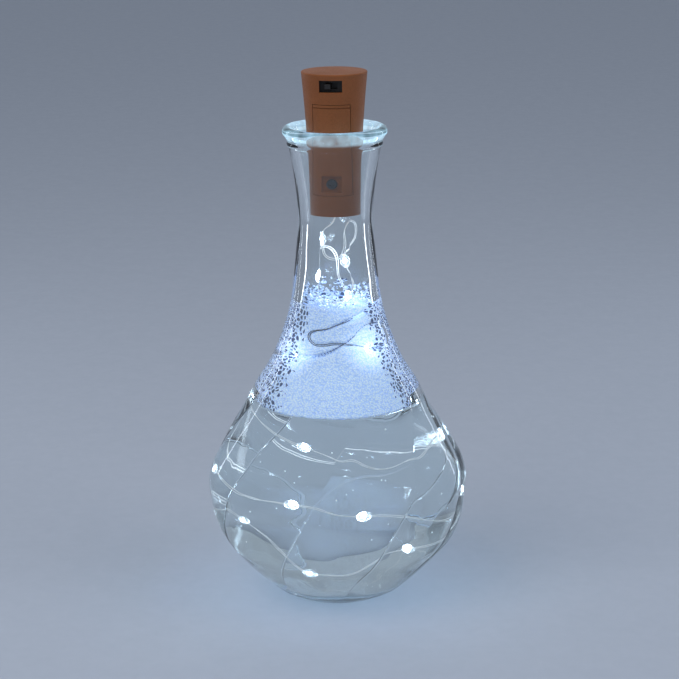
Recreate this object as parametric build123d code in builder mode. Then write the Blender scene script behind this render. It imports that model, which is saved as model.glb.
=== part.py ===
from build123d import *
from math import cos, pi, radians, sin, tan
import os

os.makedirs("parts", exist_ok=True)

# A clear swirled glass bottle with water and foam in it, and a cork shaped battery light
# in its neck, whose wire of small lights hangs down inside.
# Millimetres. The origin is the middle of the bottle's foot, +Z is up and the front is -Y.

# Bottle sizes
foot_radius = 18.2
belly_radius = 44.75
belly_height = 41.0
waist_radius = 12.7
waist_height = 130.2
collar_radius = 15.7
neck_length = 27.0
bead_radius = 1.65
bead_rise = 4.0
lip_ring_radius = 0.7
belly_wall = 2.8
neck_wall = 3.8
collar_wall = 3.0
floor_thickness = 6.0
floor_radius = 17.0
punt_radius = 13.0
punt_depth = 2.0
foot_sag = 0.45
foot_root = 1.0
foot_step = 0.12
lobe_count = 8
crease_depth = 1.3
crease_azimuth = -24.0
swirl_angle = 64.0

# Each row is a section of the bottle: height, radius, crease depth, swirl and wall shares
lower_shares = (
    (0.076, 0.199, 0.02, 0.0, 2.4),
    (0.202, 0.408, 0.35, 0.07, 2.1),
    (0.356, 0.636, 0.6, 0.15, 1.7),
    (0.507, 0.829, 0.75, 0.235, 1.2),
    (0.685, 0.938, 0.9, 0.32, 1.05),
    (0.863, 0.98, 1.0, 0.405, 1.0),
    (1.0, 1.0, 1.0, 0.475, 1.0),
)
# Each row is a section above the belly: height, radius, crease depth and swirl shares
upper_shares = (
    (0.056, 0.03, 1.0, 0.53),
    (0.101, 0.087, 1.0, 0.58),
    (0.194, 0.235, 0.95, 0.67),
    (0.288, 0.4, 0.85, 0.83),
    (0.381, 0.538, 0.7, 0.97),
    (0.474, 0.697, 0.55, 1.0),
    (0.592, 0.832, 0.4, 1.0),
    (0.709, 0.92, 0.3, 1.0),
    (0.849, 0.966, 0.22, 1.0),
    (1.0, 1.0, 0.18, 1.0),
)
# Height and crease depth shares from the waist up to the collar
neck_shares = ((0.3, 0.15), (0.55, 0.1), (0.8, 0.04), (1.0, 0.02))

# Contents
water_level = 69.2
foam_height = 100.0
foam_edge_rise = 4.0
foam_dish_radius = 8.3
fill_clearance = 0.1

# Cork light housing
cork_rise = 3.8
cork_length = 47.0
cork_top_radius = 11.0
cork_bottom_radius = 8.6
cork_sag = 0.6
cork_yaw = -7.0
shell_wall = 1.2
part_gap = 0.1
cap_thickness = 1.0
cap_spigot = 0.5
cap_spigot_wall = 1.0
cap_round = 0.4
base_recess = 1.0
base_thickness = 1.6

# Batteries and their holder
cell_radius = 5.8
cell_height = 5.4
cell_count = 3
cell_face_radius = 4.6
cell_face_step = 0.2
cell_forward = 0.6
cell_gap = 0.15
holder_foot = 7.0
holder_rise = 4.3
pocket_foot = 13.0
spring_height = 2.2
contact_thickness = 0.3
contact_width = 6.0
contact_inset = 0.6
post_radius = 0.8
post_reach = 6.3
lead_groove = 1.3
lead_wall = 0.5
lead_drop = 1.8
lead_bend = 2.4
lead_seal_bend = 1.5

# Battery door and its screw
door_width = 12.6
door_foot = 7.0
door_height = 30.1
door_gap = 0.15
door_line_drop = 1.3
door_line = 0.3
rib_width = 1.0
rib_spacing = 5.0
recess_width = 6.0
recess_height = 5.4
recess_depth = 1.0
pad_wall = 1.2
screw_height = 11.0
screw_head_radius = 1.65
screw_head_height = 0.9
screw_slot = 0.5
screw_radius = 0.85
screw_length = 6.0

# Switch and circuit board
board_height = 39.0
board_thickness = 0.8
slot_width = 7.6
slot_height = 4.0
slot_centre = 43.1
case_width = 8.6
case_height = 4.4
case_depth = 3.6
knob_width = 2.0
knob_height = 1.8
knob_setback = 0.5
knob_root = 1.2
knob_travel = 2.0
knob_gap = 0.08
pin_width = 0.5
pin_spacing = 2.5
pin_count = 3
pin_depth = 1.8
resistor_size = (2.0, 1.25, 0.5)
chip_size = (2.9, 1.6, 1.1)
chip_offset = 3.2

# Wire and its lights
wire_diameter = 0.8
seal_radius = 1.6
seal_height = 2.8
seal_foot = 0.2
light_bead_radius = 1.4
light_bead_length = 4.6
light_bead_tip = 0.55
chip_light_size = (1.6, 0.8, 0.5)
bend_share = 0.45

# One cut can run past its piece by this much
overrun = 1.0

# The wire's route. In the neck each point is x, y and height from the cork's foot
neck_route = (
    (0.0, 0.0, 0.2),
    (0.0, 0.0, -3.6),
    (-4.4, -1.6, -6.3),
    (-4.0, -3.5, -11.2),
    (-3.0, -5.0, -14.8),
    (1.3, -6.3, -15.1),
    (2.9, -5.8, -10.4),
    (2.4, -5.0, -5.6),
    (3.8, -3.5, -2.2),
    (7.0, -1.2, -3.1),
    (7.2, -0.8, -7.8),
    (5.2, -0.4, -11.6),
    (2.0, -0.9, -13.8),
    (3.2, -2.7, -19.4),
    (6.3, -3.7, -22.6),
    (5.2, -5.6, -27.2),
    (0.8, -7.1, -30.2),
    (-4.2, -6.0, -29.4),
    (-6.9, -2.4, -25.2),
    (-4.9, -0.3, -18.0),
    (-4.8, 0.3, -13.4),
    (-2.6, 0.7, -10.1),
    (1.4, 0.8, -10.2),
    (2.5, 0.8, -14.1),
    (1.7, 0.7, -18.0),
    (0.4, 0.3, -22.0),
    (2.2, -0.6, -26.2),
    (5.6, -3.2, -31.8),
)
# In the foam and the bulb each point is azimuth from the front, radius and height
bulb_route = (
    (40, 8.6, 99.9),
    (15, 11.5, 98.9),
    (-14, 12.2, 97.6),
    (-38, 12.6, 96.6),
    (-54, 12.9, 93.9),
    (-50, 13.6, 90.0),
    (-30, 14.1, 89.2),
    (-10, 14.3, 90.9),
    (10, 14.4, 91.3),
    (31, 14.1, 90.2),
    (57, 14.0, 87.8),
    (83, 13.0, 90.2),
    (78, 11.6, 95.4),
    (48, 11.6, 97.6),
    (20, 11.5, 93.2),
    (-10, 14.6, 88.2),
    (-42, 15.3, 86.6),
    (-76, 14.6, 85.8),
    (-104, 16.4, 82.2),
    (-130, 19.6, 76.6),
    (-145, 23.2, 71.4),
    (-138, 25.6, 67.6),
    (-118, 27.0, 66.8),
    (-94, 27.9, 66.2),
    (-66, 29.2, 65.4),
    (-34, 31.4, 61.6),
    (-7, 32.6, 58.8),
    (17, 31.2, 56.0),
    (43, 31.0, 54.6),
    (68, 33.0, 56.6),
    (90, 34.6, 57.2),
    (116, 35.9, 54.0),
    (141, 37.3, 51.8),
    (163, 37.9, 50.2),
    (188, 39.2, 48.4),
    (211, 39.6, 47.0),
    (233, 40.0, 46.2),
    (251, 40.4, 45.4),
    (268, 40.4, 44.9),
    (290, 40.6, 44.2),
    (309, 40.5, 42.2),
    (327, 40.6, 43.6),
    (349, 40.2, 43.2),
    (368, 38.2, 36.6),
    (387, 37.4, 28.4),
    (409, 36.6, 22.8),
    (424, 37.4, 26.4),
    (437, 40.0, 33.6),
    (456, 40.0, 38.2),
    (479, 40.2, 36.0),
    (506, 39.8, 32.6),
    (528, 39.4, 30.0),
    (553, 39.6, 29.6),
    (577, 39.0, 29.8),
    (599, 39.0, 28.4),
    (624, 39.6, 29.6),
    (642, 40.0, 32.0),
    (660, 40.3, 34.2),
    (682, 40.3, 35.2),
    (702, 40.6, 37.4),
    (722, 40.6, 39.6),
    (742, 39.8, 40.6),
    (755, 37.6, 36.4),
    (753, 35.4, 29.6),
    (741, 34.8, 23.4),
    (727, 33.8, 19.4),
    (709, 33.4, 19.0),
    (700, 33.2, 19.4),
)
# The run of the route that holds each light at its middle, counted from its first point
neck_light_runs = (2, 12, 18, 26)
bulb_light_runs = (9, 16, 22, 25, 29, 32, 35, 38, 41, 44, 47, 50, 53, 57, 60, 66)
# The deforming stretch in the foam starts and ends at the middles of these runs
link_runs = (27, 30)

# Values that follow from the sizes
collar_height = waist_height + neck_length
cork_seat = waist_height + cork_rise
wire_radius = wire_diameter / 2
cap_seam = cork_length - cap_thickness
cork_plane = Plane(
    origin=(0, 0, cork_seat),
    x_dir=(cos(radians(cork_yaw)), sin(radians(cork_yaw)), 0),
    z_dir=(0, 0, 1),
)
pocket_radius = cell_radius + cell_gap
cell_foot = pocket_foot + spring_height
contact_height = cell_foot + cell_count * cell_height
pocket_top = contact_height + contact_thickness
holder_top = pocket_top + holder_rise
lead_reach = pocket_radius - cell_forward + lead_wall + lead_groove / 2 - wire_diameter / 4
case_foot = slot_centre - case_height / 2


def front_point(azimuth, radius, height):
    """A point at an azimuth counted from the front, -Y, towards +X."""
    angle = radians(azimuth)
    return Vector(radius * sin(angle), -radius * cos(angle), height)


def lower_section(height_share, radius_share):
    """Height and radius of the bottle's outside between foot and belly."""
    return (
        belly_height * height_share,
        foot_radius + (belly_radius - foot_radius) * radius_share,
    )


def upper_section(height_share, radius_share):
    """Height and radius of the bottle's outside between belly and waist."""
    return (
        belly_height + (waist_height - belly_height) * height_share,
        belly_radius - (belly_radius - waist_radius) * radius_share,
    )


def neck_section(height_share):
    """Height, outside radius and wall of the flared neck above the waist."""
    flare = height_share**2
    return (
        waist_height + neck_length * height_share,
        waist_radius + (collar_radius - waist_radius) * flare,
        neck_wall + (collar_wall - neck_wall) * flare,
    )


def outer_sections():
    """All outside sections: height, radius, crease depth and crease azimuth."""
    rows = []
    for height_share, radius_share, depth, swirl, _ in lower_shares:
        rows.append((*lower_section(height_share, radius_share), depth, swirl))
    for height_share, radius_share, depth, swirl in upper_shares:
        rows.append((*upper_section(height_share, radius_share), depth, swirl))
    for height_share, depth in neck_shares:
        height, radius, _ = neck_section(height_share)
        rows.append((height, radius, depth, 1.0))
    return [
        (height, radius, depth * crease_depth, crease_azimuth - swirl_angle * (1 - swirl))
        for height, radius, depth, swirl in rows
    ]


def inner_points(clearance):
    """Points of the bottle's inside wall, from the heel up to the collar."""
    points = []
    for height_share, radius_share, _, _, wall in lower_shares[2:]:
        height, radius = lower_section(height_share, radius_share)
        points.append((radius - belly_wall * wall - clearance, height))
    for height_share, radius_share, _, _ in upper_shares:
        height, radius = upper_section(height_share, radius_share)
        wall = belly_wall + (neck_wall - belly_wall) * radius_share
        points.append((radius - wall - clearance, height))
    for height_share, _ in neck_shares:
        height, radius, wall = neck_section(height_share)
        points.append((radius - wall - clearance, height))
    return points


def inside_form(clearance, top):
    """The bottle's hollow as a solid, drawn in by a clearance and cut off at a height."""
    points = inner_points(clearance)
    mouth = points[-1]
    floor = floor_thickness + clearance
    with BuildPart() as form:
        with BuildSketch(Plane.XZ):
            with BuildLine():
                Line((0, floor), (floor_radius, floor))
                Spline((floor_radius, floor), *points, tangents=((1, 0), (0.5, 1)))
                Polyline(mouth, (mouth[0], mouth[1] + overrun), (0, mouth[1] + overrun), (0, floor))
            make_face()
        revolve(axis=Axis.Z)
        split(bisect_by=Plane.XY.offset(top), keep=Keep.BOTTOM)
    return form.part


def save(part, label):
    """Name a finished piece and write it."""
    part.label = label
    export_step(part, f"parts/{label}.step")


# The glass bottle: a loft through lobed sections, hollowed, with its foot and rolled lip
first_height, first_radius = lower_section(*lower_shares[0][:2])
foot_top_radius = first_radius - foot_step
collar_inner = collar_radius - collar_wall
bead_centre = (collar_inner + collar_radius) / 2 + bead_radius
bead_height = collar_height + bead_rise
with BuildPart() as glass_bottle:
    for height, radius, depth, azimuth in outer_sections():
        with BuildSketch(Plane.XY.offset(height)):
            with BuildLine():
                for lobe in range(lobe_count):
                    start = azimuth + lobe * 360 / lobe_count
                    ThreePointArc(
                        front_point(start, radius - depth, 0),
                        front_point(start + 180 / lobe_count, radius, 0),
                        front_point(start + 360 / lobe_count, radius - depth, 0),
                    )
            make_face()
    loft()
    add(inside_form(0, collar_height + overrun), mode=Mode.SUBTRACT)
    with BuildSketch(Plane.XZ):
        with BuildLine():
            Polyline(
                (foot_top_radius, first_height),
                (foot_top_radius, first_height + foot_root),
                (0, first_height + foot_root),
                (0, punt_depth),
                (punt_radius - punt_depth, punt_depth),
                (punt_radius, 0),
                (foot_radius, 0),
            )
            SagittaArc((foot_radius, 0), (foot_top_radius, first_height), -foot_sag)
        make_face()
    revolve(axis=Axis.Z)
    with BuildSketch(Plane.XZ):
        with BuildLine():
            Polyline(
                (collar_inner, collar_height),
                (collar_radius, collar_height),
                (bead_centre + bead_radius, bead_height),
                (bead_centre - bead_radius, bead_height),
                close=True,
            )
        make_face()
        with Locations((bead_centre, bead_height)):
            Circle(bead_radius)
        with Locations((collar_radius - lip_ring_radius / 2, collar_height)):
            Circle(lip_ring_radius)
    revolve(axis=Axis.Z)
save(glass_bottle.part, "glass_bottle")

# The water fills the bulb, and the foam stands on it and climbs the wall at its edge
water = inside_form(fill_clearance, water_level)
save(water, "water")
with BuildPart() as foam:
    add(inside_form(fill_clearance, foam_height + foam_edge_rise))
    split(bisect_by=Plane.XY.offset(water_level + fill_clearance), keep=Keep.TOP)
    with BuildSketch(Plane.XZ):
        with BuildLine():
            Polyline(
                (0, foam_height),
                (foam_dish_radius, foam_height),
                (foam_dish_radius + foam_edge_rise / 2, foam_height + foam_edge_rise),
                (0, foam_height + foam_edge_rise),
                close=True,
            )
        make_face()
    revolve(axis=Axis.Z, mode=Mode.SUBTRACT)
save(foam.part, "foam")


def cork_radius(height):
    """Outside radius of the cork at a height above its foot."""
    share = height / cork_length
    taper = cork_bottom_radius + (cork_top_radius - cork_bottom_radius) * share
    return taper - 4 * cork_sag * share * (1 - share)


def cork_form(inset, foot, top):
    """A slice of the cork's round form, drawn in by an inset."""
    middle = (foot + top) / 2
    with BuildPart() as form:
        with BuildSketch(Plane.XZ):
            with BuildLine():
                Spline(
                    (cork_radius(foot) - inset, cork_seat + foot),
                    (cork_radius(middle) - inset, cork_seat + middle),
                    (cork_radius(top) - inset, cork_seat + top),
                )
                Polyline(
                    (cork_radius(top) - inset, cork_seat + top),
                    (0, cork_seat + top),
                    (0, cork_seat + foot),
                    (cork_radius(foot) - inset, cork_seat + foot),
                )
            make_face()
        revolve(axis=Axis.Z)
    return form.part


def front_plane(reach, height):
    """A plane facing forwards from the cork's axis, at a reach and a height."""
    origin = cork_plane.from_local_coords(Vector(0, -reach, height))
    return Plane(origin=origin, x_dir=cork_plane.x_dir, z_dir=-cork_plane.y_dir)


# The moulded shell of the cork, with the openings for its door and its switch
with BuildPart() as cork_housing:
    add(cork_form(0, 0, cap_seam))
    add(cork_form(shell_wall, -overrun, cap_seam + overrun), mode=Mode.SUBTRACT)
    with BuildSketch(front_plane(0, door_foot + door_height / 2)):
        Rectangle(door_width, door_height)
    extrude(amount=cork_top_radius + overrun, mode=Mode.SUBTRACT)
    with BuildSketch(front_plane(0, slot_centre)):
        Rectangle(slot_width, slot_height)
    extrude(amount=cork_top_radius + overrun, mode=Mode.SUBTRACT)
save(cork_housing.part, "cork_housing")

# The lid that closes the shell's wide end
spigot_radius = cork_radius(cap_seam - cap_spigot) - shell_wall - part_gap
with BuildPart() as cork_top_cap:
    add(cork_form(0, cap_seam, cork_length))
    fillet(cork_top_cap.edges().group_by(Axis.Z)[-1], radius=cap_round)
    with BuildSketch(cork_plane.offset(cap_seam)):
        Circle(spigot_radius)
        Circle(spigot_radius - cap_spigot_wall, mode=Mode.SUBTRACT)
    extrude(amount=-cap_spigot)
save(cork_top_cap.part, "cork_top_cap")

# The plate that closes the narrow end, set in a little, with the hole for the wire seal
with BuildPart() as cork_base_plug:
    add(cork_form(shell_wall + part_gap, base_recess, base_recess + base_thickness))
    with BuildSketch(cork_plane.offset(base_recess)):
        Circle(seal_radius + part_gap / 2)
    extrude(amount=base_thickness, mode=Mode.SUBTRACT)
save(cork_base_plug.part, "cork_base_plug")

# The holder for the cells, with the screw's boss below and three posts for the board
pad_reach = cork_radius(screw_height) - recess_depth - pad_wall
pad_width = recess_width + pad_wall
pad_height = recess_height + pad_wall
strip_place = Location(
    cork_plane.from_local_coords(Vector(0, -cell_forward, pocket_foot)), (0, 0, cork_yaw - 45)
)
with BuildPart() as battery_holder:
    add(cork_form(shell_wall + part_gap, holder_foot, holder_top))
    with BuildSketch(cork_plane.offset(pocket_foot)):
        with Locations((0, -cell_forward)):
            Circle(pocket_radius)
        with Locations((0, -cell_forward - cork_top_radius / 2)):
            Rectangle(2 * pocket_radius, cork_top_radius)
    extrude(amount=pocket_top - pocket_foot, mode=Mode.SUBTRACT)
    with BuildSketch(front_plane(pad_reach - part_gap, screw_height)):
        Rectangle(pad_width + 2 * part_gap, pad_height + 2 * part_gap)
    extrude(amount=cork_top_radius, mode=Mode.SUBTRACT)
    with BuildSketch(front_plane(0, screw_height)):
        Circle(screw_radius + part_gap / 2)
    extrude(amount=cork_top_radius, mode=Mode.SUBTRACT)
    with BuildSketch(cork_plane.offset(holder_foot)):
        with Locations((0, lead_reach + cork_top_radius / 2 - lead_groove / 2)):
            Rectangle(lead_groove, cork_top_radius)
    extrude(amount=holder_top - holder_foot, mode=Mode.SUBTRACT)
    with BuildSketch(Plane(strip_place)):
        with Locations((0, pocket_radius)):
            Rectangle(contact_width / 3 + 2 * part_gap, 2 * (contact_thickness + part_gap))
    extrude(amount=holder_top - pocket_foot, mode=Mode.SUBTRACT)
    with BuildSketch(cork_plane.offset(pocket_top)):
        with Locations((0, contact_inset)):
            Rectangle(contact_width / 3 + 2 * part_gap, contact_thickness + 2 * part_gap)
    extrude(amount=holder_rise, mode=Mode.SUBTRACT)
    with BuildSketch(cork_plane.offset(holder_top)):
        with Locations((-post_reach, 0), (post_reach, 0), (0, -post_reach)):
            Circle(post_radius)
    extrude(amount=board_height - holder_top)
save(battery_holder.part, "battery_holder")

# The door over the cells, with two ribs that keep them in and a pad round its screw
rib_edge = (rib_spacing - rib_width) / 2
rib_reach = cell_forward + (cell_radius**2 - rib_edge**2) ** 0.5 + cell_gap
line_foot = door_foot + door_height - door_line_drop
with BuildPart() as door_groove:
    add(cork_form(-overrun, line_foot, line_foot + door_line))
    add(
        cork_form(door_line, line_foot - overrun, line_foot + door_line + overrun),
        mode=Mode.SUBTRACT,
    )
with BuildPart() as door_core:
    add(cork_form(shell_wall, door_foot - overrun, door_foot + door_height + overrun))
    with BuildSketch(front_plane(pad_reach, screw_height)):
        Rectangle(pad_width, pad_height)
    extrude(amount=cork_top_radius, mode=Mode.SUBTRACT)
    with BuildSketch(front_plane(rib_reach, (cell_foot + contact_height) / 2)):
        with GridLocations(rib_spacing, 0, 2, 1):
            Rectangle(rib_width, contact_height - cell_foot)
    extrude(amount=cork_top_radius, mode=Mode.SUBTRACT)
with BuildPart() as battery_door:
    add(cork_form(0, door_foot - overrun, door_foot + door_height + overrun))
    with BuildSketch(front_plane(0, door_foot + door_height / 2)):
        Rectangle(door_width - 2 * door_gap, door_height - 2 * door_gap)
    extrude(amount=cork_top_radius + overrun, mode=Mode.INTERSECT)
    add(door_core.part, mode=Mode.SUBTRACT)
    with BuildSketch(front_plane(pad_reach + pad_wall, screw_height)):
        Rectangle(recess_width, recess_height)
    extrude(amount=cork_top_radius, mode=Mode.SUBTRACT)
    with BuildSketch(front_plane(0, screw_height)):
        Circle(screw_radius + part_gap)
    extrude(amount=cork_top_radius, mode=Mode.SUBTRACT)
    add(door_groove.part, mode=Mode.SUBTRACT)
save(battery_door.part, "battery_door")

# The cross headed screw that holds the door
with BuildPart() as door_screw:
    with BuildSketch(front_plane(pad_reach + pad_wall, screw_height)):
        Circle(screw_head_radius)
    extrude(amount=screw_head_height)
    fillet(
        door_screw.faces().filter_by(GeomType.PLANE).sort_by(Axis.Y)[0].edges(),
        radius=screw_head_height / 3,
    )
    with BuildSketch(front_plane(pad_reach + pad_wall, screw_height)):
        Circle(screw_radius)
    extrude(amount=-screw_length)
    with BuildSketch(front_plane(pad_reach + pad_wall + screw_head_height / 2, screw_height)):
        Rectangle(2 * screw_radius, screw_slot)
        Rectangle(screw_slot, 2 * screw_radius)
    extrude(amount=screw_head_height, mode=Mode.SUBTRACT)
save(door_screw.part, "door_screw")

# Three button cells stacked on end
for cell in range(cell_count):
    with BuildPart() as battery_cell:
        foot = cell_foot + cell * cell_height
        with BuildSketch(cork_plane.offset(foot)):
            with Locations((0, -cell_forward)):
                Circle(cell_face_radius)
        extrude(amount=cell_face_step)
        with BuildSketch(cork_plane.offset(foot + cell_face_step)):
            with Locations((0, -cell_forward)):
                Circle(cell_radius)
        extrude(amount=cell_height - cell_face_step)
        fillet(battery_cell.edges().group_by(Axis.Z)[-1], radius=cell_face_step)
    save(battery_cell.part, f"battery_cell_{cell + 1}")

# The leaf spring under the cells, the plate over them and the strip that runs up beside them
with BuildPart() as contact_spring:
    centre = cork_plane.from_local_coords(Vector(0, -cell_forward, pocket_foot))
    with BuildSketch(Plane(origin=centre, x_dir=cork_plane.x_dir, z_dir=cork_plane.y_dir)):
        with BuildLine():
            Polyline(
                (-contact_width / 2, 0),
                (contact_width / 2, 0),
                (contact_width / 2, -contact_thickness),
                (-contact_width / 3, -contact_thickness),
                (contact_width / 3, part_gap - spring_height + contact_thickness),
                (contact_width / 3, part_gap - spring_height),
                (-contact_width / 2, -contact_thickness),
                close=True,
            )
        make_face()
    extrude(amount=contact_width / 3, both=True)
save(contact_spring.part, "contact_spring")
with BuildPart() as contact_plate:
    with BuildSketch(cork_plane.offset(contact_height)):
        with Locations((0, -cell_forward)):
            Rectangle(contact_width, contact_width)
    extrude(amount=contact_thickness)
    with BuildSketch(cork_plane.offset(contact_height)):
        with Locations((0, contact_inset)):
            Rectangle(contact_width / 3, contact_thickness)
    extrude(amount=board_height - contact_height)
save(contact_plate.part, "contact_plate")
with BuildPart() as contact_strip:
    with BuildSketch(Plane(strip_place)):
        with Locations((0, pocket_radius + contact_thickness / 2 + part_gap / 2)):
            Rectangle(contact_width / 3, contact_thickness)
    extrude(amount=board_height - pocket_foot)
save(contact_strip.part, "contact_strip")

# The round board on the holder's posts, with its driver chip and resistor
board_radius = cork_radius(board_height) - shell_wall - part_gap
board_top = board_height + board_thickness
case_corner = cork_radius(case_foot) - shell_wall
case_reach = (case_corner**2 - (case_width / 2) ** 2) ** 0.5 - part_gap
pin_reach = case_reach - case_depth / 2
pin_places = GridLocations(pin_spacing, 0, pin_count, 1)
with BuildPart() as circuit_board:
    with BuildSketch(cork_plane.offset(board_height)):
        Circle(board_radius)
        with Locations((0, -pin_reach)):
            with pin_places:
                Circle(pin_width, mode=Mode.SUBTRACT)
    extrude(amount=board_thickness)
save(circuit_board.part, "circuit_board")
for label, size, side in (("driver_chip", chip_size, -1), ("resistor", resistor_size, 1)):
    with BuildPart() as component:
        with BuildSketch(cork_plane.offset(board_top)):
            with Locations((side * chip_offset, chip_offset)):
                Rectangle(size[0], size[1])
        extrude(amount=size[2])
        fillet(component.edges().filter_by(Axis.Z), radius=size[2] / 5)
    save(component.part, label)

# The slide switch behind the slot, its knob and its pins
knob_shift = knob_travel / 2
window_depth = knob_root + knob_gap
with BuildPart() as switch_case:
    with BuildSketch(front_plane(case_reach, slot_centre)):
        Rectangle(case_width, case_height)
    extrude(amount=-case_depth)
    with BuildSketch(front_plane(case_reach, slot_centre)):
        Rectangle(knob_width + knob_travel + 2 * knob_gap, knob_height + 2 * knob_gap)
    extrude(amount=-window_depth, mode=Mode.SUBTRACT)
save(switch_case.part, "switch_case")
knob_face = cork_radius(slot_centre) - knob_setback
with BuildPart() as switch_knob:
    with BuildSketch(front_plane(case_reach - knob_root, slot_centre)):
        with Locations((-knob_shift, 0)):
            Rectangle(knob_width, knob_height)
    extrude(amount=knob_root + knob_face - case_reach)
    fillet(
        switch_knob.faces().sort_by(Axis.Y)[0].edges(),
        radius=knob_height / 6,
    )
save(switch_knob.part, "switch_knob")
with BuildPart() as switch_pins:
    with BuildSketch(cork_plane.offset(case_foot)):
        with Locations((0, -pin_reach)):
            with pin_places:
                Rectangle(pin_width, pin_width)
    extrude(amount=-pin_depth)
save(switch_pins.part, "switch_pins")

# The lead from the board down the holder's groove, and the seal that it leaves through
seal_top = seal_foot + seal_height
with BuildPart() as lead_wire:
    turn_height = seal_top + lead_drop
    lead_points = [
        cork_plane.from_local_coords(Vector(*point))
        for point in (
            (0, lead_reach, board_height),
            (0, lead_reach, turn_height),
            (0, 0, turn_height),
            (0, 0, seal_top),
        )
    ]
    with BuildLine():
        FilletPolyline(*lead_points, radius=(lead_bend, lead_seal_bend))
    with BuildSketch(Plane(origin=lead_points[0], z_dir=(0, 0, -1))):
        Circle(wire_radius)
    sweep()
save(lead_wire.part, "lead_wire")
with BuildPart() as wire_seal:
    with BuildSketch(cork_plane.offset(seal_foot)):
        Circle(seal_radius)
    extrude(amount=seal_height)
    fillet(wire_seal.edges().group_by(Axis.Z)[0], radius=seal_radius / 4)
save(wire_seal.part, "wire_seal")


def bend_radii(points):
    """The largest bend that each corner's shorter run allows."""
    radii = []
    for before, corner, after in zip(points, points[1:], points[2:]):
        into, out = corner - before, after - corner
        half_turn = radians(into.get_angle(out)) / 2
        radii.append(bend_share * min(into.length, out.length) / tan(half_turn))
    return radii


def wire_stretch(points, label):
    """A stretch of wire as a tube, with its tightest bend and its volume printed."""
    radii = bend_radii(points)
    with BuildPart() as wire:
        with BuildLine() as path:
            FilletPolyline(*points, radius=radii)
        length = sum(edge.length for edge in path.edges())
        with BuildSketch(Plane(origin=points[0], z_dir=points[1] - points[0])):
            Circle(wire_radius)
        sweep()
    expected = pi * wire_radius**2 * length
    print(label, "length %.1f" % length, "tightest bend %.2f" % min(radii))
    print(label, "volume %.2f, section times length %.2f" % (wire.part.volume, expected))
    save(wire.part, label)


# The wire, split at the middles of two runs into the part that lifts with the cork,
# the stretch in the foam that gives, and the turns that lie in the bulb
route = [Vector(x, y, cork_seat + height) for x, y, height in neck_route]
route += [front_point(*point) for point in bulb_route]


def run_middle(run):
    """The middle of a run of the route."""
    return (route[run] + route[run + 1]) * 0.5


first, last = link_runs
link_top, link_foot = run_middle(first), run_middle(last)
wire_stretch(route[: first + 1] + [link_top], "string_upper")
wire_stretch([link_top] + route[first + 1 : last + 1] + [link_foot], "string_link")
wire_stretch([link_foot] + route[last + 1 :], "string_lower")

# The lights: a small chip beside the wire in a clear bead of resin round both
light_runs = list(neck_light_runs) + [len(neck_route) + run for run in bulb_light_runs]
chips = []
for number, run in enumerate(light_runs):
    along = route[run + 1] - route[run]
    light_plane = Plane(origin=run_middle(run), z_dir=along)
    chip_plane = light_plane.offset(-chip_light_size[0] / 2)
    with BuildPart() as light_chip:
        with BuildSketch(chip_plane):
            with Locations((wire_radius + chip_light_size[2], 0)):
                Rectangle(chip_light_size[2], chip_light_size[1])
        extrude(amount=chip_light_size[0])
    chips.append(light_chip.part)
    profile_plane = Plane(
        origin=light_plane.origin, x_dir=light_plane.x_dir, z_dir=-light_plane.y_dir
    )
    with BuildPart() as light_bead:
        with BuildSketch(profile_plane):
            with BuildLine():
                ThreePointArc(
                    (light_bead_tip, -light_bead_length / 2),
                    (light_bead_radius, 0),
                    (light_bead_tip, light_bead_length / 2),
                )
                Polyline(
                    (light_bead_tip, light_bead_length / 2),
                    (0, light_bead_length / 2),
                    (0, -light_bead_length / 2),
                    (light_bead_tip, -light_bead_length / 2),
                )
            make_face()
        revolve(axis=Axis(light_plane.origin, light_plane.z_dir))
        add(light_chip.part, mode=Mode.SUBTRACT)
    save(light_bead.part, f"light_bead_{number + 1:02d}")
save(Compound(children=chips[: len(neck_light_runs)]), "light_chips_neck")
save(Compound(children=chips[len(neck_light_runs) :]), "light_chips_bulb")
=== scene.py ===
"""The looks of the cork bottle light: its glass, what fills it, the cork and the lit wire."""

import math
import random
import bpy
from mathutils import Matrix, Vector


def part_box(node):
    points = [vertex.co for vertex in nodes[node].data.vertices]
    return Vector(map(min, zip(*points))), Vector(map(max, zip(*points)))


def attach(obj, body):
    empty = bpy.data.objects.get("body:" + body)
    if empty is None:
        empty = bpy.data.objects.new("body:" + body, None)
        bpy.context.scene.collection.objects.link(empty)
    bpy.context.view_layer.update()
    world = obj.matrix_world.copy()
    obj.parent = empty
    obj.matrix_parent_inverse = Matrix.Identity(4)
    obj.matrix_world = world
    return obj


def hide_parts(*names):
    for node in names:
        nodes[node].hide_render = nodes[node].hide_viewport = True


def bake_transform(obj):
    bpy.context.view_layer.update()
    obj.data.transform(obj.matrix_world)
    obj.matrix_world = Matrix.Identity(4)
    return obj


bl_info = {
    "name": "Cork bottle light",
    "version": (1, 0, 0),
    "blender": (4, 5, 0),
    "location": "3D View > Sidebar > Bottle light",
    "description": "Builds a swirled glass bottle with a cork shaped light and its wire of lights",
    "category": "Add Mesh",
}

import bpy
from bpy.props import FloatProperty, FloatVectorProperty, IntProperty, PointerProperty
from mathutils import Matrix, Vector, kdtree, noise

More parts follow.
